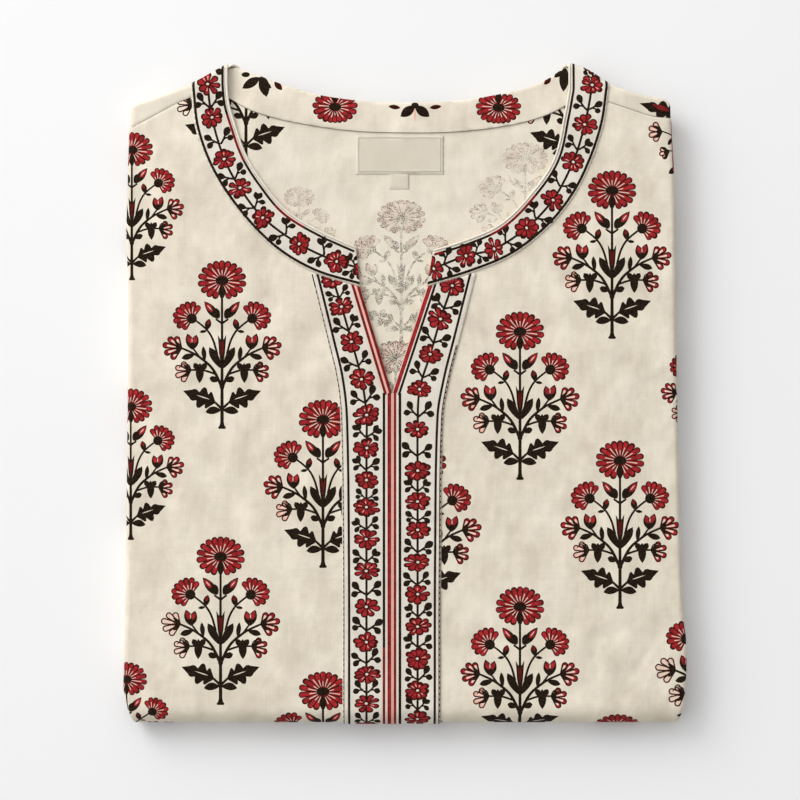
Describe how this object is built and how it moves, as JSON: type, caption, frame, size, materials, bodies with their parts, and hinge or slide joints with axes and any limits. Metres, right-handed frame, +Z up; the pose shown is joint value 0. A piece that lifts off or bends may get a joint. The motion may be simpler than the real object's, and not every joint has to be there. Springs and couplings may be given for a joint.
{
  "type": "folded kurta tunic",
  "caption": "Block-printed cotton kurta tunic folded flat, with a round neckband, a V slit, two placket strips and a back neck facing.",
  "frame": {"origin": "centre of the folded garment's footprint, on the surface it rests on", "axes": "+X across the garment to the right as seen from above, +Y up the garment towards the neck, +Z up from the surface"},
  "size_m": [0.3048, 0.3589, 0.0189],
  "materials": {
    "printed_cotton": "matt plain-weave cotton, cream, hand-block printed in madder red and black",
    "border_print": "matt plain-weave cotton strip, red flowers between black lines on cream",
    "inner_cotton": "matt wrong side of the cream cotton, print showing faintly through",
    "woven_label": "fine woven cotton tape, plain"
  },
  "bodies": {
    "root": {"front": "printed_cotton", "back": "inner_cotton", "back_neck_facing": "printed_cotton", "neckband_left": "border_print", "neckband_right": "border_print", "placket_left": "border_print", "placket_right": "border_print", "label": "woven_label", "size_tab": "woven_label", "folded_layers": "inner_cotton"}
  },
  "joints": []
}
